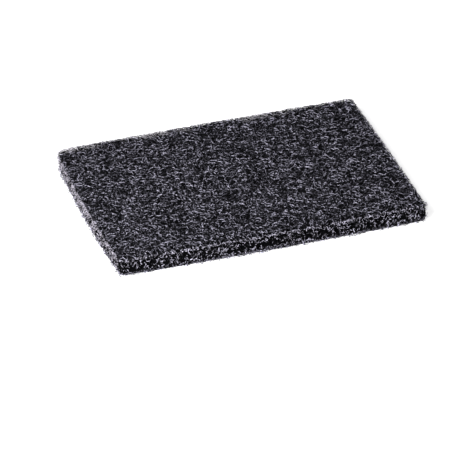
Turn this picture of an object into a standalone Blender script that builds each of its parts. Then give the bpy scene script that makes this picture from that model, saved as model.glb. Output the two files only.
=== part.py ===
# Griddle polishing pad: one slab of crimped nylon strands, bonded with dark resin.
#
# The slab is cut from a sheet. Its top is a web of strands, its four sides are cut
# straight down through the same web, and it lies flat on its underside. The web is made
# as the real one is: crimped strands are laid at random, each where the web is still the
# most open, until they cross often enough. The places where they cross become points,
# the strands between them become ridges, and each opening sinks into a pit.
#
# Metres, +Z up. The origin is the middle of the underside. The pad's length runs along X
# and its front is towards -Y.

import math
import random

import bmesh
import bpy
import numpy as np
from mathutils import Vector, geometry, noise

# The slab
LENGTH = 0.13335
WIDTH = 0.1016
THICKNESS = 0.0092

# How the cut outline departs from a true rectangle
BACK_LEFT_INSET = 0.0024
FRONT_LEFT_INSET = 0.0008
FRONT_RIGHT_INSET = 0.0018
LEFT_BOW = 0.0012
RIGHT_BOW = 0.0004
FRONT_BOW = 0.0010
BACK_BOW = 0.0006
BACK_LEFT_ROUND = 0.0050
CORNER_ROUND = 0.0020
NUB_REACH = 0.0016
NUB_SPAN = 0.0034

# How the faces depart from true planes
CROWN = 0.0003
RIPPLE = 0.0003
RIPPLE_LENGTH = 0.020
RIM_ROUND = 0.0006
SIDE_BULGE = 0.0003

# The strands: how long they are, how they bend, and how often they cross
STRAND_LENGTH = 0.080
TIGHTEST_CRIMP = 0.0050
CRIMP_LENGTH = 0.009
TOP_CROSSINGS = 2560
UNDER_CROSSINGS = 500

# How the strands are laid: each is the roomiest of some tries, and room past the widest counts for
# nothing more. Then the bonded web draws itself even a few times over.
SEED = 11
TRIES = 12
WIDEST_ROOM = 0.003
EVENING_ROUNDS = 2

# Points this close melt together, and a line that bends less than its sag is made straight
STEP = 0.0009
CORNER_POINTS = 8
MELT = 0.00028
RIDGE_SAG = 0.00045
RIM_SAG = 0.00010

# How deep the strands weave, and how deep a pit is for its width. Under 1, a pit's walls stay
# gentler than 45 degrees, so the pits on both sides of the rim keep clear of each other.
WEAVE = 0.0003
PIT_RATIO = 0.9
STEEPEST_WALL = 0.95
DEEPEST_PIT = 0.0016

# The flat band round the edge of the underside
FOOT_LAND = 0.0010

CHARCOAL = (0.040, 0.042, 0.052, 1.0)
RESIN_ROUGHNESS = 0.55


def clear_scene():
    for obj in list(bpy.data.objects):
        bpy.data.objects.remove(obj)


# The outline


def bowed_side(start, end, bow):
    """Points from start to end, pushed out to the left of the walk by up to bow."""
    along = end - start
    outward = Vector((-along.y, along.x)).normalized()
    count = max(2, round(along.length / STEP))
    for i in range(count):
        t = i / count
        yield start + along * t + outward * bow * math.sin(math.pi * t)


def rounded(points, corner, reach):
    """The closed outline with a corner replaced by a curve that leaves both sides reach away from it.

    The curve starts and ends along the sides, so the outline stays convex.
    """
    kept = [p for p in points if (p - corner).length > reach]
    gap = max(range(len(kept)), key=lambda i: (kept[i] - kept[i - 1]).length)
    kept = [p.to_3d() for p in kept[gap:] + kept[:gap]]
    tip = geometry.intersect_line_line(kept[-2], kept[-1], kept[1], kept[0])[0]
    curve = geometry.interpolate_bezier(
        kept[-1], kept[-1].lerp(tip, 0.6), kept[0].lerp(tip, 0.6), kept[0], CORNER_POINTS + 2
    )
    return [p.to_2d() for p in kept + curve[1:-1]]


def cut_outline():
    """The rim's outline seen from above, clockwise, which the bulging sides fill out to LENGTH by WIDTH."""
    right, back = LENGTH / 2, WIDTH / 2
    corners = [
        Vector((-right + FRONT_LEFT_INSET, -back)),
        Vector((-right + BACK_LEFT_INSET, back)),
        Vector((right, back)),
        Vector((right - FRONT_RIGHT_INSET, -back)),
    ]
    points = []
    for i, bow in enumerate((LEFT_BOW, BACK_BOW, RIGHT_BOW, FRONT_BOW)):
        points += bowed_side(corners[i], corners[(i + 1) % 4], bow)
    reaches = (CORNER_ROUND, BACK_LEFT_ROUND, CORNER_ROUND, CORNER_ROUND)
    for corner, reach in zip(corners, reaches):
        points = rounded(points, corner, reach)
    low = Vector((min(p.x for p in points), min(p.y for p in points)))
    high = Vector((max(p.x for p in points), max(p.y for p in points)))
    middle, size = (low + high) / 2, high - low
    fit_x = (LENGTH - 2 * SIDE_BULGE) / size.x
    fit_y = (WIDTH - 2 * SIDE_BULGE) / size.y
    return [Vector(((p.x - middle.x) * fit_x, (p.y - middle.y) * fit_y)) for p in points]


def offset_outline(outline, out):
    """The outline moved outward, or inward if out is less than 0, without the points that cross over."""
    moved = []
    for i, p in enumerate(outline):
        along = outline[(i + 1) % len(outline)] - outline[i - 1]
        moved.append(p + Vector((-along.y, along.x)).normalized() * out)
    gaps = abs(reach_from(outline, moved)[1])
    return [p for p, gap in zip(moved, gaps) if gap > 0.95 * abs(out)]


def reach_from(outline, points):
    """The nearest place on the outline to each point, and how far out it lies, less than 0 inside."""
    a = np.array(outline)
    along = np.roll(a, -1, axis=0) - a
    points = np.array(points)[:, None]
    t = ((points - a) * along).sum(2) / (along * along).sum(1)
    foot = a + along * np.clip(t, 0, 1)[:, :, None]
    gap = np.linalg.norm(points - foot, axis=2)
    nearest = gap.argmin(1)
    rows = np.arange(len(nearest))
    rises = (a[:, 1] > points[:, :, 1]) != (np.roll(a, -1, axis=0)[:, 1] > points[:, :, 1])
    with np.errstate(divide="ignore", invalid="ignore"):
        crossing = a[:, 0] + along[:, 0] * (points[:, :, 1] - a[:, 1]) / along[:, 1]
    inside = (rises & (points[:, :, 0] < crossing)).sum(1) % 2 == 1
    return foot[rows, nearest], np.where(inside, -1, 1) * gap[rows, nearest]


# The strands


class Coverage:
    """How far each spot inside a border is from the strands laid so far."""

    def __init__(self, border):
        self.border, self.pitch = border, 1.5 * STEP
        self.low = np.min(border, axis=0) - self.pitch
        shape = np.ceil((np.max(border, axis=0) - self.low) / self.pitch).astype(int) + 1
        self.spots = self.low + self.pitch * (np.indices(shape).transpose(1, 2, 0) + 0.5)
        outs = reach_from(border, self.spots.reshape(-1, 2))[1]
        self.room = np.where(outs < 0, WIDTH, -1.0).reshape(shape)

    def at(self, point):
        """The distance there, or less than 0 outside the border."""
        x, y = (np.array(point) - self.low) / self.pitch
        return self.room[int(x), int(y)]

    def widest(self):
        return Vector(self.spots[np.unravel_index(self.room.argmax(), self.room.shape)])

    def add(self, strand):
        for point in strand[::2]:
            gap = np.linalg.norm(self.spots - np.array(point), axis=2)
            self.room = np.minimum(self.room, gap)


def crimped_run(start, heading, shift, coverage):
    """Half a strand: it winds from start at random, with no bend tighter than TIGHTEST_CRIMP, up to
    the border. Also the sum of the room along it."""
    points, room = [start], 0.0
    for i in range(round(STRAND_LENGTH / 2 / STEP)):
        bend = noise.noise(Vector((i * STEP / CRIMP_LENGTH, shift, 0)))
        heading += 2 * bend * STEP / TIGHTEST_CRIMP
        points.append(points[-1] + STEP * Vector((math.cos(heading), math.sin(heading))))
        here = coverage.at(points[-1])
        if here < 0:
            points[-1] = min(coverage.border, key=lambda p: (p - points[-1]).length)
            break
        room += min(here, WIDEST_ROOM)
    return points, room


def laid_strands(border, crossings, rng):
    """Strands over the area inside the border. Each starts where the web is the most open, in whichever
    of several ways keeps it the furthest from the rest.

    Random lines of total length T over an area A cross T * T / (pi * A) times.
    """
    coverage = Coverage(border)
    area = (coverage.room > 0).sum() * coverage.pitch**2
    strands, total = [], 0.0
    while total < math.sqrt(math.pi * crossings * area):
        start = coverage.widest()
        tries = []
        for _ in range(TRIES):
            heading, shift = rng.uniform(-math.pi, math.pi), rng.uniform(0, 999)
            ahead, room = crimped_run(start, heading, shift, coverage)
            behind, more = crimped_run(start, heading + math.pi, shift + 9, coverage)
            strand = behind[:0:-1] + ahead
            tries.append(((room + more) / len(strand), strand))
        strand = max(tries, key=lambda scored: scored[0])[1]
        strands.append(strand)
        total += STEP * (len(strand) - 1)
        coverage.add(strand)
    return strands


# From strands to a web of ridges and pits


def crossed(points, edges, melt=MELT):
    """Lines cut where they cross, and the openings between them. Points closer than melt become one."""
    points, edges, openings, _, _, _ = geometry.delaunay_2d_cdt(points, edges, [], 3, melt)
    return points, edges, openings


def loose_lines(opening):
    """The edges of an opening that bound nothing by themselves: a strand's loose end has the opening on
    both its sides, and a loop that hangs at one point makes the opening pass that point twice."""
    sides = list(zip(opening, opening[1:] + opening[:1]))
    loose = {side for side in sides if side[::-1] in sides}
    first_pass = {}
    for i, point in enumerate(opening):
        if point in first_pass and not loose:
            before = first_pass[point]
            loop = sides[before:i]
            rest = sides[:before] + sides[i:]
            loose |= set(min(loop, rest, key=len))
        first_pass.setdefault(point, i)
    return loose | {side[::-1] for side in loose}


def trimmed(points, edges, openings):
    """The same lines without the loose ones."""
    loose = set().union(*map(loose_lines, openings))
    while loose:
        edges = [edge for edge in edges if edge not in loose]
        points, edges, openings = crossed(points, edges, MELT / 1000)
        loose = set().union(*map(loose_lines, openings))
    return points, openings


def linked_from(start):
    """All the points that lines join to a first one."""
    found, todo = {start}, [start]
    while todo:
        v = todo.pop()
        new = {e.other_vert(v) for e in v.link_edges} - found
        found |= new
        todo += new
    return found


def web_of(border, strands, rim=()):
    """A flat mesh whose edges are the strands, the border and the rim, cut where they cross.

    Where a strand comes close to the rim it is bonded to it, and at the border it ends. A curl that
    is bonded to nothing, alone in an opening, is left out.
    """
    points, edges = [], []
    for strand in strands:
        edges += [(len(points) + i, len(points) + i + 1) for i in range(len(strand) - 1)]
        points += strand
    points, edges, _ = crossed(points, edges)
    for loop in filter(None, (rim, border)):
        places, outs = reach_from(loop, points)
        bonded = (outs > -MELT) & ((outs < MELT) | (loop is border))
        points = [Vector(place) if held else p for p, place, held in zip(points, places, bonded)]
        edges = [(a, b) for a, b in edges if not (bonded[a] and bonded[b])]
        edges += [(len(points) + i, len(points) + (i + 1) % len(loop)) for i in range(len(loop))]
        points += loop
    points, openings = trimmed(*crossed(points, edges, MELT / 1000))
    web = bmesh.new()
    verts = [web.verts.new(p.to_3d()) for p in points]
    for opening in openings:
        web.faces.new([verts[i] for i in opening])
    bonded = linked_from(max(verts, key=lambda v: v.co.x))
    bmesh.ops.delete(web, geom=[v for v in verts if v not in bonded], context="VERTS")
    bmesh.ops.remove_doubles(web, verts=web.verts, dist=MELT / 10)
    return web


def swept_over(v, a, b):
    """Whether another point of the web would be passed when the line a, v, b is pulled straight."""
    near = {other for face in v.link_faces for other in face.verts} - {v, a, b}
    corner = [p.co.to_2d() for p in (a, v, b)]
    return any(geometry.intersect_point_tri_2d(other.co.to_2d(), *corner) for other in near)


def straighten(web, fixed):
    """Drops the points where a line bends only a little, so that it runs from crossing to crossing.

    A point that fixed() names, such as one on the rim, keeps closer to its line.
    """
    dropped = True
    while dropped:
        dropped, touched = [], set()
        for v in web.verts:
            if len(v.link_edges) != 2:
                continue
            a, b = (e.other_vert(v) for e in v.link_edges)
            if touched & {a, b, v} or any(b in e.verts for e in a.link_edges):
                continue
            sag = (v.co - a.co).cross((b.co - a.co).normalized()).length
            if sag < (RIM_SAG if fixed(v) else RIDGE_SAG) and not swept_over(v, a, b):
                dropped.append(v)
                touched |= {a, b, v}
        bmesh.ops.dissolve_verts(web, verts=dropped)


def even_out(web, fixed):
    """Moves each crossing towards the middle of its neighbours, as a bonded web draws itself even."""
    for _ in range(EVENING_ROUNDS):
        for v in web.verts:
            if fixed(v):
                continue
            ends = [e.other_vert(v).co for e in v.link_edges]
            before, middle = v.co.copy(), sum(ends, Vector()) / len(ends)
            v.co = before.lerp(middle, 0.5)
            for face in v.link_faces:
                face.normal_update()
            if any(face.normal.z < 0.5 or not middle_sees_all(face) for face in v.link_faces):
                v.co = before


def middle_sees_all(face):
    """Whether a point in the middle of a flat opening has a clear line to every edge of it."""
    middle = face.calc_center_median_weighted()
    around = [v.co for v in face.verts]
    spins = [(a - middle).cross(b - middle).z for a, b in zip(around, around[1:] + around[:1])]
    return min(spins) > 0


def split_bent_openings(web):
    """Lays a bridge across each opening that bends too much to have one pit."""
    bent = [face for face in web.faces if not middle_sees_all(face)]
    bmesh.ops.connect_verts_concave(web, faces=bent)


def pit_floor(face, deeper):
    """The lowest point of an opening's pit. One low on a side goes straight in, so none is under ground."""
    middle, inward = face.calc_center_median_weighted(), -face.normal
    around = [v.co for v in face.verts]
    nearest = min(
        (middle - geometry.intersect_point_line(middle, a, b)[0]).length
        for a, b in zip(around, around[1:] + around[:1])
    )
    width = 2 * face.calc_area() / face.calc_perimeter()
    if abs(inward.z) < 0.9 and min(p.z for p in around) < 2 * DEEPEST_PIT:
        inward.z = 0
    floor = middle + inward * min(DEEPEST_PIT, PIT_RATIO * width * deeper, STEEPEST_WALL * nearest)
    floor.z = max(floor.z, 0.0)
    return floor


def sink_pits(web, rng, level=lambda face: False):
    """Sinks each opening to a floor. A level one is filled flush."""
    web.normal_update()
    for face in list(web.faces):
        if level(face):
            bmesh.ops.triangulate(web, faces=[face])
            continue
        floor = web.verts.new(pit_floor(face, rng.uniform(0.7, 1.3)))
        around = list(face.verts)
        web.faces.remove(face)
        for a, b in zip(around, around[1:] + around[:1]):
            web.faces.new((a, b, floor))


# The slab


def top_height(x, y, reach):
    """How high the top stands: crowned a little in the middle, rippled, and eased at the rim."""
    across = (2 * x / LENGTH) ** 2 + (2 * y / WIDTH) ** 2
    ripple = noise.noise(Vector((x, y, 0)) / RIPPLE_LENGTH)
    ease = RIM_ROUND * math.exp(-max(reach, 0) / RIM_ROUND)
    return THICKNESS - CROWN * across / 2 - RIPPLE * (1 + ripple) / 2 - ease


def fold_over(web, outline, rim, rng):
    """Lifts what lies inside the outline to the top, and folds what lies outside it down the sides.

    Off the rim, a crossing lies up to WEAVE deeper than the surface, as strands pass over and under.
    """
    verts = list(web.verts)
    places, outs = reach_from(outline, [v.co.to_2d() for v in verts])
    for v, place, out in zip(verts, places, outs):
        deeper = 0 if v in rim else rng.uniform(0, WEAVE)
        if out < MELT / 10:
            v.co.z = top_height(v.co.x, v.co.y, -out) - deeper
            continue
        down = 1.0 if v.is_boundary else min(1.0, out / THICKNESS)
        outward = (v.co.to_2d() - Vector(place)).normalized()
        x, y = Vector(place) + outward * (SIDE_BULGE * math.sin(math.pi * down) - deeper)
        v.co = (x, y, top_height(x, y, 0) * (1 - down))
    bmesh.ops.remove_doubles(web, verts=web.verts, dist=MELT / 10)


def spans_middle(face):
    """Whether an opening of the underside lies across the origin, where the slab rests."""
    xs, ys = [v.co.x for v in face.verts], [v.co.y for v in face.verts]
    return min(xs) < 0 < max(xs) and min(ys) < 0 < max(ys)


def ring_of(web, besides=()):
    """The web's boundary points in order, besides those of a ring that is already known."""
    start = loop = next(
        e.link_loops[0] for e in web.edges if e.is_boundary and e.verts[0] not in besides
    )
    ring = []
    while not ring or loop is not start:
        ring.append(loop.vert)
        loop = loop.link_loop_next
        while not loop.edge.is_boundary:
            loop = loop.link_loop_radial_next.link_loop_next
    return ring


def fill_between(slab, outer, inner):
    """Closes the flat band between two rings, facing down: a strip of triangles that steps along
    whichever ring is behind."""
    inner = inner[::-1]
    start = min(range(len(inner)), key=lambda k: (inner[k].co - outer[0].co).length)
    inner = inner[start:] + inner[: start + 1]
    outer = outer + outer[:1]
    i = j = 0
    while i + 1 < len(outer) or j + 1 < len(inner):
        a, b = outer[i], inner[j]
        step_a = (outer[i + 1].co - b.co).length if i + 1 < len(outer) else math.inf
        step_b = (inner[j + 1].co - a.co).length if j + 1 < len(inner) else math.inf
        if step_a < step_b:
            i += 1
            slab.faces.new((outer[i], a, b))
        else:
            j += 1
            slab.faces.new((a, b, inner[j]))


def push_out_nub(slab):
    """The cut ran wide at the front of the right end, and left a nub there through the whole thickness."""
    nub = Vector((LENGTH / 2 - FRONT_RIGHT_INSET, (NUB_SPAN - WIDTH) / 2))
    for v in slab.verts:
        v.co.x += NUB_REACH * math.exp(-((2 * (v.co.to_2d() - nub).length / NUB_SPAN) ** 2))


def top_and_sides(outline, rng):
    """One web over the top and down all four sides, open at the foot."""
    foot = offset_outline(outline, THICKNESS)
    web = web_of(foot, laid_strands(foot, TOP_CROSSINGS, rng), rim=outline)
    outs = reach_from(outline, [v.co.to_2d() for v in web.verts])[1]
    rim = {v for v, out in zip(web.verts, outs) if abs(out) < MELT / 10 or v.is_boundary}
    straighten(web, rim.__contains__)
    even_out(web, rim.__contains__)
    split_bent_openings(web)
    fold_over(web, outline, rim, rng)
    sink_pits(web, rng)
    return web


def underside(outline, rng):
    """The web that the slab lies on, inside the foot's flat band, with its ridges all on the ground."""
    inside = offset_outline(outline, -FOOT_LAND)
    web = web_of(inside, laid_strands(inside, UNDER_CROSSINGS, rng))
    straighten(web, lambda v: v.is_boundary)
    even_out(web, lambda v: v.is_boundary)
    split_bent_openings(web)
    bmesh.ops.reverse_faces(web, faces=web.faces)
    sink_pits(web, rng, level=spans_middle)
    return web


def resin_bonded_nylon():
    material = bpy.data.materials.new("resin_bonded_nylon")
    material.use_nodes = True
    shader = material.node_tree.nodes["Principled BSDF"]
    shader.inputs["Base Color"].default_value = CHARCOAL
    shader.inputs["Roughness"].default_value = RESIN_ROUGHNESS
    shader.inputs["Metallic"].default_value = 0.0
    return material


def main():
    clear_scene()
    rng = random.Random(SEED)
    outline = cut_outline()
    slab = top_and_sides(outline, rng)
    foot = ring_of(slab)

    mesh = bpy.data.meshes.new("pad")
    underside(outline, rng).to_mesh(mesh)
    slab.from_mesh(mesh)
    fill_between(slab, foot, ring_of(slab, besides=foot))
    push_out_nub(slab)
    slab.to_mesh(mesh)

    mesh.materials.append(resin_bonded_nylon())
    bpy.context.scene.collection.objects.link(bpy.data.objects.new("pad", mesh))


if __name__ == "__main__":
    main()
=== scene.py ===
# %% [markdown]
# # A griddle polishing pad
#
# The real pad is a slab of nonwoven web. Crimped nylon strands are laid at random in thin layers and
# sprayed with a dark resin that holds abrasive grit. Then they are baked, so that every crossing is
# bonded, and the slab is cut to size with a die, straight down through all the layers.
#
# The scene follows that: first the line of the cut, then one crimped strand, the web of them and its
# resin, the dense middle of the slab, and last the floor, the light and the camera.
#
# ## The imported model
#
# The solid of the pad is already there, at its true size. The web could be fitted to it by eye, but
# here every size is read from the solid, so that the two can't drift apart.

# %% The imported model
import math

import bmesh
import bpy
from mathutils import Matrix, Vector


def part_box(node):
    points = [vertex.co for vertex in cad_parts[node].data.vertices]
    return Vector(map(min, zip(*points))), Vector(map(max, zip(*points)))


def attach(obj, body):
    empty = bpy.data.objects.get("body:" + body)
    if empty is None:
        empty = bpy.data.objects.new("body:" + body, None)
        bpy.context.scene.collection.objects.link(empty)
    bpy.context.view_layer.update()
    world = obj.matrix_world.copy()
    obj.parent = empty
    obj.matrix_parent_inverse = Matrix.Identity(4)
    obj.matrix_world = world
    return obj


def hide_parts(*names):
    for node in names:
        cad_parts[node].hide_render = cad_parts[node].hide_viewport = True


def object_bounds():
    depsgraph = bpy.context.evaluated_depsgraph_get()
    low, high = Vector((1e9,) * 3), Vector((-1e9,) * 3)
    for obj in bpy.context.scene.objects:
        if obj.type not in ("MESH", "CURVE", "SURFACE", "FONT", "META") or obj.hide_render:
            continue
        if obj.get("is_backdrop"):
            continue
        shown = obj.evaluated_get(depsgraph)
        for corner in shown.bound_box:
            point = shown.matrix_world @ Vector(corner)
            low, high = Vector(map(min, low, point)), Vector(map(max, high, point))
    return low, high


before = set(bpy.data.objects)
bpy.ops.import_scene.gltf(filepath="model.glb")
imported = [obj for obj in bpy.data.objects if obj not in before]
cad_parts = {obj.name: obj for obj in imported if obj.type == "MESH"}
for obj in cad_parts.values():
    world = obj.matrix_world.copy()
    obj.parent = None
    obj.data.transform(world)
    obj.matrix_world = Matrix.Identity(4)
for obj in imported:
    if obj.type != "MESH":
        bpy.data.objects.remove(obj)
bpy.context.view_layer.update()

NODE = "pad"
MM = 0.001
low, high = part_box(NODE)
THICK = high.z - low.z
print("The solid measures", [round(side / MM, 1) for side in high - low], "mm")

# %% [markdown]
# ## The line of the cut
#
# Everything here follows the line that the die cut. It isn't a true rectangle: its sides bow out a
# little, and the back left corner is rounder than the others. The line could be drawn again as a
# curve, but the solid has it already, as the edge between its flat foot and its sides. So it is read
# from there, and the strands then end exactly where the solid does.

# %% The edge of the foot
WELD = 0.001 * MM
FOOT_HEIGHT = 0.01 * MM
STRAIGHT_DOWN = -0.9999


def welded_copy(node):
    """A copy of a node's mesh to work on, with the corners of neighbouring triangles joined."""
    copy = bmesh.new()
    copy.from_mesh(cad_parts[node].data)
    bmesh.ops.remove_doubles(copy, verts=copy.verts, dist=WELD)
    return copy


def is_foot(face):
    return face.normal.z < STRAIGHT_DOWN and face.calc_center_median().z < FOOT_HEIGHT


def foot_edges(solid):
    """The edges where the flat foot meets the sides."""
    for edge in solid.edges:
        if max(v.co.z for v in edge.verts) > FOOT_HEIGHT or len(edge.link_faces) != 2:
            continue
        one, other = edge.link_faces
        if is_foot(one) != is_foot(other):
            yield edge


print("The solid has", len(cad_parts[NODE].data.polygons), "triangles")


# %% The cut line as a curve
def chained(edges):
    """The points of a ring of edges, in order, the way round that has its inside on the left."""
    beside = {}
    for edge in edges:
        for v in edge.verts:
            beside.setdefault(v, []).append(edge.other_vert(v))
    ring = [next(iter(beside))]
    before = None
    while True:
        after = next(v for v in beside[ring[-1]] if v is not before)
        if after is ring[0]:
            break
        before = ring[-1]
        ring.append(after)
    points = [v.co.copy() for v in ring]
    area = sum(a.x * b.y - b.x * a.y for a, b in zip(points, points[1:] + points[:1]))
    return points if area > 0 else points[::-1]


def placed(name, data):
    """A new object in the scene."""
    thing = bpy.data.objects.new(name, data)
    bpy.context.scene.collection.objects.link(thing)
    return thing


def cut_line(node):
    solid = welded_copy(node)
    points = chained(list(foot_edges(solid)))
    solid.free()
    curve = bpy.data.curves.new("cut_line", "CURVE")
    curve.dimensions = "3D"
    spline = curve.splines.new("POLY")
    spline.points.add(len(points) - 1)
    for place, point in zip(spline.points, points):
        place.co = (point.x, point.y, 0, 1)
    spline.use_cyclic_u = True
    return placed("cut_line", curve), points


outline, outline_points = cut_line(NODE)
around = sum((b - a).length for a, b in zip(outline_points, outline_points[1:] + outline_points[:1]))
print(f"The cut line has {len(outline_points)} points and is {around / MM:.0f} mm round")

# %% [markdown]
# ## Writing node trees as short sentences
#
# A tree of nodes is drawn with the mouse in Blender, but in a script it can be written like a
# sentence. `Tree.add` makes a node, feeds its inputs in order, and hands back its output, which goes
# straight into the next node. `Tree.math` and `Tree.vector` do the same for sums.


# %% A small writer of node trees
class Tree:
    """A Geometry Nodes tree that is written from left to right."""

    def __init__(self, name):
        self.group = bpy.data.node_groups.new(name, "GeometryNodeTree")
        self.group.interface.new_socket("Geometry", in_out="OUTPUT", socket_type="NodeSocketGeometry")
        self.source = self.group.nodes.new("NodeGroupInput")

    def input(self, name, kind):
        """A named input of the whole tree."""
        self.group.interface.new_socket(name, in_out="INPUT", socket_type=f"NodeSocket{kind}")
        return self.source.outputs[name]

    def add(self, kind, *inputs, out=0, **settings):
        """A new node, fed in order. None leaves an input alone. Hands back one of its outputs."""
        node = self.group.nodes.new(kind)
        for name, value in settings.items():
            setattr(node, name, value)
        sockets = [socket for socket in node.inputs if socket.enabled]
        for socket, value in zip(sockets, inputs):
            if isinstance(value, bpy.types.NodeSocket):
                self.group.links.new(value, socket)
            elif value is not None:
                socket.default_value = value
        return [socket for socket in node.outputs if socket.enabled][out]

    def math(self, operation, *values):
        return self.add("ShaderNodeMath", *values, operation=operation)

    def vector(self, operation, *values):
        return self.add("ShaderNodeVectorMath", *values, operation=operation)

    def join(self, x=None, y=None, z=None):
        return self.add("ShaderNodeCombineXYZ", x, y, z)

    def random(self, lowest, highest, number, seed):
        """A number for each strand, the same every time."""
        return self.add("FunctionNodeRandomValue", lowest, highest, number, seed, data_type="FLOAT")

    def store(self, geometry, name, value):
        """Keeps a number on each point, for later nodes and for the material."""
        return self.add("GeometryNodeStoreNamedAttribute", geometry, None, name, value,
                        data_type="FLOAT", domain="POINT")

    def stored(self, name):
        return self.add("GeometryNodeInputNamedAttribute", name, data_type="FLOAT")

    def compare(self, operation, a, b):
        return self.add("FunctionNodeCompare", a, b, data_type="FLOAT", operation=operation)

    def noise(self, place, detail=0.0):
        """Smooth noise that swings about 0, within -1 and 1."""
        level = self.add("ShaderNodeTexNoise", place, 1.0, detail, noise_dimensions="3D")
        return self.math("MULTIPLY_ADD", level, 2.0, -1.0)

    def finish(self, geometry, material):
        real = self.add("GeometryNodeRealizeInstances", geometry)
        coated = self.add("GeometryNodeSetMaterial", real, None, material)
        end = self.group.nodes.new("NodeGroupOutput")
        self.group.links.new(coated, end.inputs[0])
        return self.group


print("Tree is ready")

# %% [markdown]
# ## From a tree to a mesh
#
# A tree only works while its modifier is live. The finished pad needs plain meshes, which any other
# program can read. So the tree runs once on an empty mesh, Blender hands over the result, and the
# carrier with its modifier is thrown away. The inputs are set before that, by their identifiers.


# %% Running a tree once
def plain_mesh(name, group, values):
    """Runs a tree once with these inputs, and keeps what it makes as a plain mesh."""
    carrier = placed(name + "_tree", bpy.data.meshes.new(name + "_tree"))
    modifier = carrier.modifiers.new("Strands", "NODES")
    modifier.node_group = group
    for item in group.interface.items_tree:
        if item.in_out == "INPUT":
            modifier[item.identifier] = values[item.name]
    graph = bpy.context.evaluated_depsgraph_get()
    mesh = bpy.data.meshes.new_from_object(carrier.evaluated_get(graph))
    bpy.data.objects.remove(carrier)
    piece = placed(name, mesh)
    mesh.calc_loop_triangles()
    print(f"{name}: {len(mesh.loop_triangles)} triangles")
    return piece


print("plain_mesh() is ready")

# %% [markdown]
# ## A crimped strand
#
# Nylon for these webs is crimped between hot gears, so a strand never runs straight. It winds with
# bends of a millimetre or two, this way and that. One strand could be drawn as a curve, but a pad needs
# tens of thousands. The nodes make each as a walk: at each step the heading turns by smooth noise, and
# the sum of all the steps so far is the place. Accumulate Field makes both sums, for all the strands at
# once, with the strand's number as the group.
#
# Crimp is the sharpest turn, in radians for each metre of strand, and Crimp length is the way from one
# bend to the next.

# %% Walking the strands
BENDS_APART = 7.31  # in the noise, from one strand to the next, so that their bends differ


def walk(tree, given):
    """Lines of points, one line for each strand. Hands back the mesh, the strand's number, the way along
    it, and how far each point is from the strand's middle."""
    steps, stride, seed = given["Steps"], given["Stride"], given["Seed"]
    starts = tree.add("GeometryNodePoints", given["Strands"])
    line = tree.add("GeometryNodeMeshLine", steps, None, None, (0, 0, 1), mode="OFFSET")
    copies = tree.add("GeometryNodeInstanceOnPoints", starts, None, line)
    lines = tree.add("GeometryNodeRealizeInstances", copies)
    index = tree.add("GeometryNodeInputIndex")
    number = tree.math("FLOOR", tree.math("DIVIDE", tree.math("ADD", index, 0.5), steps))
    first = tree.math("MULTIPLY", number, steps)
    along = tree.math("MULTIPLY", stride, tree.math("SUBTRACT", index, first))

    along_noise = tree.math("DIVIDE", along, given["Crimp length"])
    place = tree.join(along_noise, tree.math("MULTIPLY", number, BENDS_APART), seed)
    bend = tree.math("MULTIPLY", tree.noise(place, detail=1.0), tree.math("MULTIPLY", given["Crimp"], stride))
    turned = tree.add("GeometryNodeAccumulateField", bend, number, data_type="FLOAT")
    heading = tree.math("ADD", turned, tree.random(0.0, math.tau, number, seed))
    pace = tree.join(tree.math("COSINE", heading), tree.math("SINE", heading))
    pace = tree.vector("SCALE", pace, stride)
    moved = tree.add("GeometryNodeAccumulateField", pace, number, data_type="FLOAT_VECTOR")
    half_way = tree.math("MULTIPLY", tree.math("ADD", number, 0.5), steps)
    middle = tree.add("GeometryNodeFieldAtIndex", moved, half_way, data_type="FLOAT_VECTOR")
    return lines, number, along, tree.vector("SUBTRACT", moved, middle)


print("walk() is ready")

# %% [markdown]
# ## Where the strands lie
#
# The places could be drawn at random, but random places clump and leave holes. Here each strand takes
# the next place of a sequence that fills the field evenly, and is nudged a little from it. All the
# layers share that one sequence, each from its own Seed on. The field is wider than the pad, so that
# the web is as dense at the rim as in the middle.
#
# Each strand has its own height in the slab and weaves a little up and down. A top strand also dives
# at both ends, so that it comes up from under its neighbours and goes back, as a long strand does. On
# the underside Dive is negative, and the ends rise instead. Ceiling keeps every strand below the top
# of the solid.

# %% Spreading the strands
EVEN_STEPS = (0.7548777, 0.5698403)  # in shares of the field, from one strand to the next
HEIGHTS_APART = 3.17  # as BENDS_APART, for the weave
HEIGHT_DRAW, TONE_DRAW, X_DRAW, Y_DRAW = 3, 4, 5, 6  # added to Seed, for numbers of their own
FLOOR_GAP = 1.2  # in radii, the least from the floor to the middle of a strand


def drawn(tree, given, number, lowest, highest, which):
    """A random number of each strand's own, another one for each use."""
    return tree.random(lowest, highest, number, tree.math("ADD", given["Seed"], which))


def strand_place(tree, given, number):
    """Where on the field the middle of a strand lies."""
    spot = tree.math("ADD", number, given["Seed"])
    spread = [tree.math("FRACT", tree.math("MULTIPLY", spot, step)) for step in EVEN_STEPS]
    centred = tree.vector("SUBTRACT", tree.join(*spread), (0.5, 0.5, 0.0))
    nudge = tree.join(*(drawn(tree, given, number, -1.0, 1.0, which) for which in (X_DRAW, Y_DRAW)))
    even = tree.vector("MULTIPLY", centred, given["Field"])
    return tree.vector("ADD", even, tree.vector("SCALE", nudge, given["Stride"]))


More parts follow.
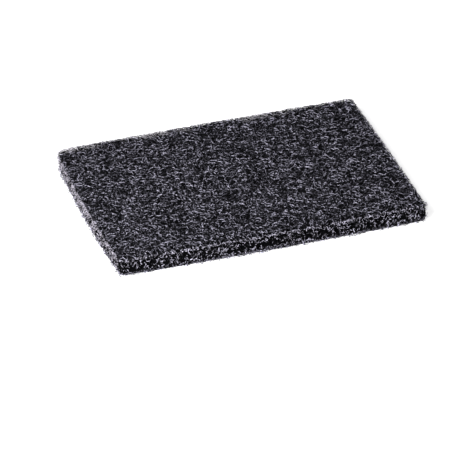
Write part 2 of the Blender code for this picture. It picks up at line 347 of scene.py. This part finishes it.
def strand_height(tree, given, number, along):
    """How high each point of a strand lies."""
    along_noise = tree.math("DIVIDE", along, given["Weave length"])
    rise = tree.join(along_noise, tree.math("MULTIPLY", number, HEIGHTS_APART), given["Seed"])
    level = drawn(tree, given, number, given["Lowest"], given["Highest"], HEIGHT_DRAW)
    woven = tree.math("MULTIPLY_ADD", tree.noise(rise), given["Weave"], level)
    spans = tree.math("SUBTRACT", given["Steps"], 1.0)
    half_length = tree.math("MULTIPLY", spans, tree.math("MULTIPLY", given["Stride"], 0.5))
    from_middle = tree.math("SUBTRACT", tree.math("DIVIDE", along, half_length), 1.0)
    dive = tree.math("MULTIPLY", given["Dive"], tree.math("POWER", from_middle, 2.0))
    height = tree.math("SUBTRACT", woven, dive)
    height = tree.math("MAXIMUM", height, tree.math("MULTIPLY", given["Radius"], FLOOR_GAP))
    return tree.math("MINIMUM", height, given["Ceiling"])


print("The strands are spread in steps of", EVEN_STEPS, "of the field")

# %% [markdown]
# ## The cut through the web
#
# Then the die comes down. Booleans cut closed forms, and these are open lines, so here the points are
# sorted instead. A point outside the cut line is deleted, so a strand that crosses the line ends
# there, and one that winds in and out of it becomes two strands. A ray straight down onto the filled
# outline tells inside from outside, and Geometry Proximity tells how far the line is. Points deeper
# than Band go too, because the side strands only fill a band along the cut. The other layers have a
# Band of a metre, and keep everything.
#
# Two of these distances stay on each point, because the colour needs them: `depth`, how far the point
# is in from the cut line, and `sunk`, how far it is in from the nearest face or side, which sets the
# painted shade. They are taken before the rim is lowered, or else the rim would count as deep and be
# painted dark.

# %% Cutting the web
OVERHANG = 0.3  # of a stride, how far past the line a strand may end
RAY_HEIGHT = 1.0
RAY_LENGTH = 10.0
FLATTENED = (1.0, 1.0, 0.0)


def cut_web(tree, given, lines):
    """The points that are left by the die, with `depth` and `sunk` on each."""
    outline = tree.add("GeometryNodeObjectInfo", given["Cut line"], False, out=4, transform_space="ORIGINAL")
    filled = tree.add("GeometryNodeFillCurve", outline)
    ring = tree.add("GeometryNodeCurveToMesh", outline)
    place = tree.add("GeometryNodeInputPosition")
    above = tree.vector("MULTIPLY_ADD", place, FLATTENED, (0.0, 0.0, RAY_HEIGHT))
    down = (0.0, 0.0, -1.0)
    inside = tree.add("GeometryNodeRaycast", filled, None, above, down, RAY_LENGTH, data_type="FLOAT")
    ground = tree.vector("MULTIPLY", place, FLATTENED)
    far = tree.add("GeometryNodeProximity", ring, None, ground, out=1, target_element="EDGES")
    side = tree.math("MULTIPLY_ADD", inside, 2.0, -1.0)
    lines = tree.store(lines, "depth", tree.math("MULTIPLY", far, side))
    depth = tree.stored("depth")
    up = tree.add("ShaderNodeSeparateXYZ", place, out=2)
    from_faces = tree.math("MINIMUM", up, tree.math("SUBTRACT", THICK, up))
    lines = tree.store(lines, "sunk", tree.math("MINIMUM", depth, from_faces))
    past = tree.compare("LESS_THAN", depth, tree.math("MULTIPLY", given["Stride"], -OVERHANG))
    deep = tree.compare("GREATER_THAN", depth, given["Band"])
    gone = tree.add("FunctionNodeBooleanMath", past, deep, operation="OR")
    return tree.add("GeometryNodeDeleteGeometry", lines, gone, domain="POINT")


print("A strand may end", OVERHANG, "of a stride past the cut line")

# %% [markdown]
# ## The rim and the thickness
#
# The die drags the top strands down a little as it cuts, so the rim of the top is soft and not
# square. The drop is eased, from nothing 3 mm in to all of it at the line.
#
# Last, each line becomes a tube. Three sides are enough when it is shaded smooth: at a fifth of a
# millimetre a rounder tube looks the same, and it would leave room for fewer strands.

# %% Rim and tubes
RIM_WIDTH = 3.0 * MM
TUBE_SIDES = 3
THINNEST = 0.8  # in shares of Radius
THICKER_BY = 0.4


def lower_rim(tree, given, lines):
    nearness = tree.add("ShaderNodeMapRange", tree.stored("depth"), 0.0, RIM_WIDTH, 1.0, 0.0)
    eased = tree.math("MULTIPLY", nearness, nearness)
    drop = tree.math("MULTIPLY", eased, tree.math("MULTIPLY", given["Rim drop"], -1.0))
    return tree.add("GeometryNodeSetPosition", lines, None, None, tree.join(0.0, 0.0, drop))


def round_strands(tree, given, lines):
    """Tubes along the lines. The paler strands are a little thicker."""
    curves = tree.add("GeometryNodeMeshToCurve", lines)
    share = tree.math("MULTIPLY_ADD", tree.stored("tone"), THICKER_BY, THINNEST)
    radius = tree.math("MULTIPLY", given["Radius"], share)
    section = tree.add("GeometryNodeCurvePrimitiveCircle", TUBE_SIDES, 1.0)
    tubes = tree.add("GeometryNodeCurveToMesh", curves, section, radius, True)
    return tree.add("GeometryNodeSetShadeSmooth", tubes)


print(f"The tubes have {TUBE_SIDES} sides, and the rim is soft for {RIM_WIDTH / MM:.0f} mm")

# %% [markdown]
# ## The web
#
# One tree makes every part of the web, for the top, the cut sides and the underside, because on the
# real pad they are the same strands. What differs from part to part is an input with a name.

# %% The tree of the web
INPUTS = {
    "Cut line": "Object", "Field": "Vector", "Strands": "Int", "Steps": "Int", "Stride": "Float",
    "Crimp": "Float", "Crimp length": "Float", "Lowest": "Float", "Highest": "Float",
    "Weave": "Float", "Weave length": "Float", "Dive": "Float", "Ceiling": "Float",
    "Rim drop": "Float", "Band": "Float", "Radius": "Float", "Seed": "Int",
}


def web_tree(name, material):
    tree = Tree(name)
    given = {title: tree.input(title, kind) for title, kind in INPUTS.items()}
    lines, number, along, moved = walk(tree, given)
    lines = tree.store(lines, "tone", drawn(tree, given, number, 0.0, 1.0, TONE_DRAW))
    flat = tree.vector("ADD", strand_place(tree, given, number), moved)
    height = strand_height(tree, given, number, along)
    lifted = tree.vector("ADD", flat, tree.join(0.0, 0.0, height))
    lines = tree.add("GeometryNodeSetPosition", lines, None, lifted)
    lines = cut_web(tree, given, lines)
    lines = lower_rim(tree, given, lines)
    return tree.finish(round_strands(tree, given, lines), material)


print("The web has", len(INPUTS), "inputs")

# %% [markdown]
# ## Writing materials the same way
#
# A finish is a tree of nodes too, so it gets a small writer of its own. A number or colour that is
# the same all over goes straight into the shader's socket, and only what changes from place to place
# comes from nodes. Every pattern reads Object coordinates, so it stays on the pad when the pad moves.


# %% A small writer of finishes
class Finish:
    """A material that is written from left to right."""

    def __init__(self, name, constants):
        self.material = bpy.data.materials.new(name)
        self.material.use_nodes = True
        self.nodes = self.material.node_tree.nodes
        self.links = self.material.node_tree.links
        self.surface = self.nodes["Principled BSDF"]
        for socket, value in constants.items():
            self.surface.inputs[socket].default_value = value

    def new(self, kind, **settings):
        node = self.nodes.new(kind)
        for name, value in settings.items():
            setattr(node, name, value)
        return node

    def feed(self, socket, value):
        """A socket takes an output, a number or a colour."""
        if isinstance(value, bpy.types.NodeSocket):
            self.links.new(value, socket)
        else:
            socket.default_value = (*value, 1) if socket.type == "RGBA" else value

    def place(self):
        """Object coordinates: the whole, and their Y and Z."""
        whole = self.new("ShaderNodeTexCoord").outputs["Object"]
        parts = self.new("ShaderNodeSeparateXYZ")
        self.feed(parts.inputs["Vector"], whole)
        return whole, parts.outputs["Y"], parts.outputs["Z"]

    def stored(self, name):
        return self.new("ShaderNodeAttribute", attribute_name=name).outputs["Fac"]

    def math(self, operation, a, b):
        node = self.new("ShaderNodeMath", operation=operation)
        self.feed(node.inputs[0], a)
        self.feed(node.inputs[1], b)
        return node.outputs["Value"]

    def ramp(self, value, start, end, low_value=0.0, high_value=1.0):
        """value's stretch from start to end, brought to low_value to high_value."""
        node = self.new("ShaderNodeMapRange", interpolation_type="SMOOTHSTEP")
        for socket, number in zip(node.inputs, (value, start, end, low_value, high_value)):
            self.feed(socket, number)
        return node.outputs["Result"]

    def blend(self, factor, a, b):
        """A colour between a and b."""
        node = self.new("ShaderNodeMix", data_type="RGBA")
        for name, value in (("Factor", factor), ("A", a), ("B", b)):
            self.feed(node.inputs[name], value)
        return node.outputs["Result"]

    def noise(self, place, scale, detail):
        node = self.new("ShaderNodeTexNoise")
        for name, value in (("Vector", place), ("Scale", scale), ("Detail", detail)):
            self.feed(node.inputs[name], value)
        return node


print("Finish is ready")

# %% [markdown]
# ## The resin
#
# The strands are clear nylon, and the look is all in what they are dipped in: a charcoal resin with a
# blue cast, cured to a soft gloss, with grit in it. One plain colour would look like wet rubber, so
# the colour is mixed from what differs from place to place, and from painted shade where the web gets
# little light. Each of the next functions hands back such a share, from 0 to 1.
#
# The first is the paleness of the cut. At the cut the strands are paler, but less on the front side
# and hardly at the foot, where painted shade holds the paleness back.

# %% The pale cut, with painted shade at the front and the foot
PALE_CUT_DEPTH = 1.0 * MM
# Painted shade: the paleness of the cut is held back near the floor and on the front side, which reads
# darker.
FOOT_PAINTED_SHADE = (1.0 * MM, 4.0 * MM)  # up from the floor
FRONT_PAINTED_SHADE = (1.0 * MM, 5.0 * MM)  # in from the front side
FRONT_PALENESS_IN_SHADE = 0.35


def pale_cut_and_painted_shade(finish, y, z):
    """How pale the cut is, held back where shade is painted on the front side and at the foot."""
    at_cut = finish.ramp(finish.stored("depth"), 0.0, PALE_CUT_DEPTH, 1.0, 0.0)
    # Painted shade near the floor and on the front side.
    out_of_foot_shade = finish.ramp(z, *FOOT_PAINTED_SHADE)
    out_of_front_shade = finish.ramp(y, low.y + FRONT_PAINTED_SHADE[0], low.y + FRONT_PAINTED_SHADE[1], FRONT_PALENESS_IN_SHADE, 1.0)
    return finish.math("MULTIPLY", at_cut, finish.math("MULTIPLY", out_of_foot_shade, out_of_front_shade))


print(f"The cut is worn {PALE_CUT_DEPTH / MM:.0f} mm deep")

# %% [markdown]
# The resin lies in lumps, and between them the strands are painted near-black, as painted shade of
# the gaps deep in the web. The lumps could be modelled as beads on every strand, but they are hardly
# larger than a strand is thick, so a noise makes them as flecks. The flecks are longer across the pad
# than along it, as the specks of the photograph are once the slant of the view is allowed for.

# %% Flecks in the resin
FLECKS_PER_METRE = (1900.0, 1000.0, 1900.0)
FLECK_EDGE = (0.44, 0.52)


def flecks(finish, place):
    """Where a strand shows between the dark gaps of painted shade."""
    spaced = finish.new("ShaderNodeVectorMath", operation="MULTIPLY")
    finish.feed(spaced.inputs[0], place)
    finish.feed(spaced.inputs[1], FLECKS_PER_METRE)
    lumps = finish.noise(spaced.outputs["Vector"], 1.0, detail=0.0)
    return finish.ramp(lumps.outputs["Fac"], *FLECK_EDGE)


print(f"There are about {FLECKS_PER_METRE[0] * MM:.1f} flecks to a millimetre")

# %% [markdown]
# Along the back edge the strands are paler, in patches about 2 cm apart. They could be painted on
# by hand, but then they would be lost when a size changes. So a much slower noise chooses them, and a
# ramp keeps them to the last few millimetres.

# %% Patches at the back edge
BACK_FADE = (7.5 * MM, 4.5 * MM)  # in from the back side
PATCHES_PER_METRE = 42.0
PATCH_EDGE = (0.46, 0.56)
PATCH_STRENGTH = 0.9


def pale_back_patches(finish, place, y):
    """How pale the back edge is."""
    near_back = finish.ramp(y, high.y - BACK_FADE[0], high.y - BACK_FADE[1])
    patches = finish.noise(place, PATCHES_PER_METRE, detail=2.0)
    patched = finish.ramp(patches.outputs["Fac"], *PATCH_EDGE, 0.0, PATCH_STRENGTH)
    return finish.math("MULTIPLY", near_back, patched)


print(f"The patches are about {1 / (PATCHES_PER_METRE * MM):.0f} mm apart")

# %% [markdown]
# Now the colours are laid over one another. Each strand has taken a little more or less resin, which
# its `tone` says. The pale cut, the flecks with painted shade between them and the pale patches follow.
# Last comes painted shade by depth: a strand deep in the web gets hardly any light, so it is painted
# nearly black, as `sunk` says, and that darkens all the rest.

# %% Colour of the resin, with painted shade
# Painted shade: near-black for the strands deep in the web and for the gaps between the flecks.
PAINTED_SHADE_COLOUR = (0.003, 0.003, 0.004)
DARK_RESIN = (0.02, 0.0195, 0.026)
LIGHT_RESIN = (0.83, 0.805, 1.0)
PALE_CUT_COLOUR = (0.57, 0.535, 0.615)
PALE_PATCH_COLOUR = (0.80, 0.77, 0.83)
# Painted shade by depth: over these depths a strand is painted from its colour to near-black.
DEPTH_SHADE_FADE = (0.38 * MM, 0.88 * MM)


def resin_and_shade_colour(finish, place, y, z):
    coated = finish.blend(finish.stored("tone"), DARK_RESIN, LIGHT_RESIN)
    paled = finish.blend(pale_cut_and_painted_shade(finish, y, z), coated, PALE_CUT_COLOUR)
    # Painted shade: between the flecks the strand is painted near-black, as a shaded gap in the web.
    flecked = finish.blend(flecks(finish, place), PAINTED_SHADE_COLOUR, paled)
    patched = finish.blend(pale_back_patches(finish, place, y), flecked, PALE_PATCH_COLOUR)
    # Painted shade: the deeper in the web, the nearer black.
    depth_shade = finish.ramp(finish.stored("sunk"), *DEPTH_SHADE_FADE)
    return finish.blend(depth_shade, patched, PAINTED_SHADE_COLOUR)


# The painted shade by depth spans these depths.
print(f"The resin goes dark between {DEPTH_SHADE_FADE[0] / MM:.2f} and {DEPTH_SHADE_FADE[1] / MM:.2f} mm down")

# %% [markdown]
# The grit makes the resin rough. Its grains lie about a fifth of a millimetre apart, which is too fine
# to be modelled, so one noise gives both the small changes of gloss and the bump.

# %% Resin on the strands
GLOSS = 0.12
GRAINS_PER_METRE = 4500.0
GRIT_SPREAD = (0.2, 0.8)
GRAIN_HEIGHT = 0.05 * MM
GRAIN_BUMP = 0.6
SMOOTHEST, ROUGHEST = 0.30, 0.60


def resin(name):
    finish = Finish(name, {"Specular IOR Level": GLOSS})
    place, y, z = finish.place()
    finish.feed(finish.surface.inputs["Base Color"], resin_and_shade_colour(finish, place, y, z))
    grit = finish.noise(place, GRAINS_PER_METRE, detail=3.0).outputs["Fac"]
    finish.feed(finish.surface.inputs["Roughness"], finish.ramp(grit, *GRIT_SPREAD, SMOOTHEST, ROUGHEST))
    bump = finish.new("ShaderNodeBump")
    finish.feed(bump.inputs["Strength"], GRAIN_BUMP)
    finish.feed(bump.inputs["Distance"], GRAIN_HEIGHT)
    finish.feed(bump.inputs["Height"], grit)
    finish.feed(finish.surface.inputs["Normal"], bump.outputs["Normal"])
    return finish.material


strand_resin_and_shade = resin("strand_resin_and_shade")
print("The resin is made of", len(strand_resin_and_shade.node_tree.nodes), "nodes")

# %% [markdown]
# ## Top, underside and cut sides
#
# A strand deep in the web can't be seen, so the strands are laid only where the eye reaches: in the top
# 2 mm, in the lowest millimetre, and in the first 1.4 mm of the cut sides. The top shows the most, so
# it has four layers of fine strands, one over another. A cut side shows strands that run every way, so
# they weave much more up and down there. They stop well below the top, because the top strands already
# cover the rim. The underside lies flat on the floor, so its strands are few and hardly weave.
#
# Each layer is a mesh of its own, so that none gets too heavy to handle.

# %% Laying the strands
FIELD_MARGIN = 5 * MM
TOP = THICK - 0.4 * MM
field = (high.x - low.x + 2 * FIELD_MARGIN, high.y - low.y + 2 * FIELD_MARGIN, 0.0)
shared = {
    "Cut line": outline, "Field": field, "Steps": 11, "Stride": 0.5 * MM, "Radius": 0.095 * MM,
    "Crimp": 3800.0, "Crimp length": 2.0 * MM, "Weave": 0.4 * MM, "Weave length": 1.7 * MM,
    "Dive": 0.7 * MM, "Rim drop": 0.0, "Band": 1.0, "Ceiling": THICK - 0.15 * MM,
}
top = {"Strands": 3800, "Rim drop": 0.8 * MM}
sides = {
    "Strands": 13500, "Radius": 0.12 * MM, "Band": 1.4 * MM, "Dive": 0.0,
    "Weave": 2.4 * MM, "Weave length": 1.3 * MM, "Ceiling": TOP - 0.7 * MM,
}
underside = {"Strands": 2500, "Stride": 0.75 * MM, "Radius": 0.13 * MM, "Dive": -0.3 * MM, "Weave": 0.15 * MM}
layers = {
    "top_strands_1": {**top, "Lowest": TOP - 0.3 * MM, "Highest": TOP},
    "top_strands_2": {**top, "Lowest": TOP - 0.6 * MM, "Highest": TOP - 0.2 * MM},
    "top_strands_3": {**top, "Lowest": TOP - 0.5 * MM, "Highest": TOP - 0.1 * MM},
    "top_strands_4": {**top, "Lowest": TOP - 0.3 * MM, "Highest": TOP},
    "side_strands_1": {**sides, "Lowest": 0.8 * MM, "Highest": THICK * 0.5},
    "side_strands_2": {**sides, "Lowest": THICK * 0.5, "Highest": TOP - 1.2 * MM},
    "underside_strands": {**underside, "Lowest": 0.15 * MM, "Highest": 0.35 * MM},
}
web = web_tree("web_of_strands", strand_resin_and_shade)
pieces = []
laid = 0
for name, changes in layers.items():
    pieces.append(plain_mesh(name, web, {**shared, **changes, "Seed": laid}))
    laid += changes["Strands"]
print(laid, "strands are laid in", len(pieces), "layers")

# %% [markdown]
# ## The middle of the web
#
# Behind those strands the web goes on, too deep to make out. More strands would cost far more than
# they show, so one closed form stands for it: the solid itself, drawn in from every side, so that the
# strands stand free of it and no light shines through the pad.
#
# It is painted nearly black, as painted shade of the web where light hardly reaches, with a faint
# tangle. Only one thin layer of strands fits under it, so a net of paler lines is drawn on its
# underside: the seams of a pattern of cells, shaken by noise so that they wind as strands do.

# %% Finish of the middle
# Painted shade: the near-black colours of the middle.
DEEPEST_SHADE, DEEP_SHADE = (0.001, 0.001, 0.0012), (0.004, 0.004, 0.005)
NET_COLOUR = (0.16, 0.155, 0.19)
TANGLE_PER_METRE = 900.0
CELLS_PER_METRE = 700.0
NET_SHAKE = (1.5 * MM, 1.5 * MM, 0.0)
NET_LINE_FADE = (0.05, 0.14)
NET_TOP_FADE = (0.8 * MM, 1.4 * MM)


def matte_middle(name):
    finish = Finish(name, {"Roughness": 0.9, "Specular IOR Level": 0.02})
    place, _, z = finish.place()
    tangle = finish.noise(place, TANGLE_PER_METRE, detail=4.0)
    plain = finish.blend(tangle.outputs["Fac"], DEEPEST_SHADE, DEEP_SHADE)

    shaken = finish.new("ShaderNodeVectorMath", operation="MULTIPLY_ADD")
    for socket, value in zip(shaken.inputs, (tangle.outputs["Color"], NET_SHAKE, place)):
        finish.feed(socket, value)
    cells = finish.new("ShaderNodeTexVoronoi", feature="DISTANCE_TO_EDGE")
    finish.feed(cells.inputs["Scale"], CELLS_PER_METRE)
    finish.feed(cells.inputs["Vector"], shaken.outputs["Vector"])
    lines = finish.ramp(cells.outputs["Distance"], *NET_LINE_FADE, 1.0, 0.0)
    at_foot = finish.ramp(z, *NET_TOP_FADE, 1.0, 0.0)
    netted = finish.blend(finish.math("MULTIPLY", lines, at_foot), plain, NET_COLOUR)
    finish.feed(finish.surface.inputs["Base Color"], netted)
    return finish.material


middle_painted_shade = matte_middle("middle_painted_shade")
print("The middle's finish is made of", len(middle_painted_shade.node_tree.nodes), "nodes")


# %% The middle
def middle(name, material, inset, floor_gap, top_gap):
    """The solid, drawn in by inset at the sides, floor_gap at the foot and top_gap at the top."""
    solid = welded_copy(NODE)
    half = (high - low) / 2
    for v in solid.verts:
        v.co.x *= 1 - inset / half.x
        v.co.y *= 1 - inset / half.y
        v.co.z = floor_gap + v.co.z * (THICK - floor_gap - top_gap) / THICK
    mesh = bpy.data.meshes.new(name)
    solid.to_mesh(mesh)
    solid.free()
    mesh.materials.append(material)
    return placed(name, mesh)


core = middle("middle_strands", middle_painted_shade, inset=0.95 * MM, floor_gap=0.45 * MM, top_gap=1.0 * MM)
print("The middle holds", len(core.data.polygons), "faces")

# %% [markdown]
# ## One pad on one body
#
# The pad is a single slab that nothing moves on. So every mesh stands for the same solid and rides on
# its one body.

# %% One pad on one body
for piece in [core, *pieces]:
    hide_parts(NODE)
    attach(piece, "root")
bpy.data.objects.remove(outline)
print(len(pieces) + 1, "meshes make up the pad")

# %% [markdown]
# ## Floor
#
# The pad lies on a sheet of white paper. A pale floor under soft light comes out grey, and more light
# would bleach the pad. So the floor adds some light of its own, to what the camera sees and nothing
# else. It then reads as white, the pad doesn't change, and the shadow still shows.

# %% Floor
FLOOR_SIDE = 6.0
PAPER = (0.8, 0.8, 0.8, 1)
GLOW = 0.80


def white_floor(side):
    finish = Finish("white_paper", {"Base Color": PAPER, "Roughness": 0.9, "Emission Color": (1, 1, 1, 1)})
    seen = finish.new("ShaderNodeLightPath").outputs["Is Camera Ray"]
    finish.feed(finish.surface.inputs["Emission Strength"], finish.math("MULTIPLY", seen, GLOW))
    half = side / 2
    corners = [(-half, -half, 0), (half, -half, 0), (half, half, 0), (-half, half, 0)]
    mesh = bpy.data.meshes.new("floor")
    mesh.from_pydata(corners, [], [(0, 1, 2, 3)])
    mesh.materials.append(finish.material)
    floor = placed("floor", mesh)
    floor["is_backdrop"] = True


white_floor(FLOOR_SIDE)
print("The floor is", FLOOR_SIDE, "m wide")

# %% [markdown]
# ## Light
#
# The strands are only bright against black gaps when the light comes mostly from one side. Light from
# all round fills the gaps and the web turns to felt. So one square lamp stands high at the front left,
# large enough for a soft shadow, and the surroundings add a little. To the camera they are white.

# %% Lamp
KEY_PLACE = (-0.35, -0.30, 0.33)
KEY_SIZE = 0.32
KEY_WATTS = 6.4


def lamp(name, place, size, watts):
    """A square lamp that points at the pad."""
    data = bpy.data.lights.new(name, "AREA")
    data.shape = "SQUARE"
    data.size = size
    data.energy = watts
    light = placed(name, data)
    light.location = place
    light.rotation_euler = (-Vector(place)).to_track_quat("-Z", "Y").to_euler()
    return light


key = lamp("key", KEY_PLACE, KEY_SIZE, KEY_WATTS)
print(f"The lamp is {key.location.length:.2f} m from the pad")

# %% Surroundings
SURROUNDINGS = 0.10

scene = bpy.context.scene
scene.view_settings.view_transform = "Standard"


def surroundings(strength):
    """White all round: at this strength for the pad and at 1 for the camera."""
    world = bpy.data.worlds.new("studio")
    scene.world = world
    world.use_nodes = True
    nodes = world.node_tree.nodes
    links = world.node_tree.links
    seen = nodes.new("ShaderNodeLightPath")
    mix = nodes.new("ShaderNodeMix")
    mix.data_type = "FLOAT"
    mix.inputs["A"].default_value = strength
    mix.inputs["B"].default_value = 1.0
    links.new(seen.outputs["Is Camera Ray"], mix.inputs["Factor"])
    links.new(mix.outputs["Result"], nodes["Background"].inputs["Strength"])
    nodes["Background"].inputs["Color"].default_value = (1, 1, 1, 1)


surroundings(SURROUNDINGS)
print("The surroundings give", SURROUNDINGS, "of full white")

# %% [markdown]
# ## Camera
#
# A long lens from 2 m away, 28.7 degrees above the table and a little to the left of the pad's front.
# The angles could be set by eye, but they were fitted, so that the corners of the solid fall on the
# corners of the pad in the photograph. The lens is then shifted, and not turned, to put the pad where
# it lies in the frame, because a turn would change its perspective.

# %% Camera
CAMERA_AZIMUTH = math.radians(-16.76)
CAMERA_HEIGHT = math.radians(28.68)
CAMERA_ROLL = math.radians(-1.94)
CAMERA_DISTANCE = 2.0
FOCUS_PIXELS = 4870.0
FRAME_PIXELS = 450.0
SENSOR_WIDTH = 36.0
PAD_OFF_CENTRE = (13.28, -39.79)
AIM_HEIGHT = 4.29 * MM
FARTHEST_SEEN = 20.0


def photograph_camera():
    back = Vector((
        math.sin(CAMERA_AZIMUTH) * math.cos(CAMERA_HEIGHT),
        -math.cos(CAMERA_AZIMUTH) * math.cos(CAMERA_HEIGHT),
        math.sin(CAMERA_HEIGHT),
    ))
    right = (-back).cross(Vector((0, 0, 1))).normalized()
    up = back.cross(right)
    rolled = math.cos(CAMERA_ROLL) * right + math.sin(CAMERA_ROLL) * up
    upright = math.cos(CAMERA_ROLL) * up - math.sin(CAMERA_ROLL) * right
    data = bpy.data.cameras.new("camera")
    data.sensor_width = SENSOR_WIDTH
    data.lens = FOCUS_PIXELS / FRAME_PIXELS * SENSOR_WIDTH
    data.shift_x = -PAD_OFF_CENTRE[0] / FRAME_PIXELS
    data.shift_y = PAD_OFF_CENTRE[1] / FRAME_PIXELS
    data.clip_end = FARTHEST_SEEN
    camera = placed("camera", data)
    place = Matrix.Translation(back * CAMERA_DISTANCE + Vector((0, 0, AIM_HEIGHT)))
    camera.matrix_world = place @ Matrix((rolled, upright, back)).transposed().to_4x4()
    scene.camera = camera
    return camera


camera = photograph_camera()
print(f"The lens is {camera.data.lens:.0f} mm")

# %% [markdown]
# ## Sizes and the end
#
# The strands must not make the pad larger than its solid. Both boxes are written down, the solid's
# from the start and the dressed pad's from now, so that they can be compared.

# %% Sizes and the end
dressed_low, dressed_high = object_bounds()
print("The dressed pad measures", [round(side / MM, 1) for side in dressed_high - dressed_low], "mm")
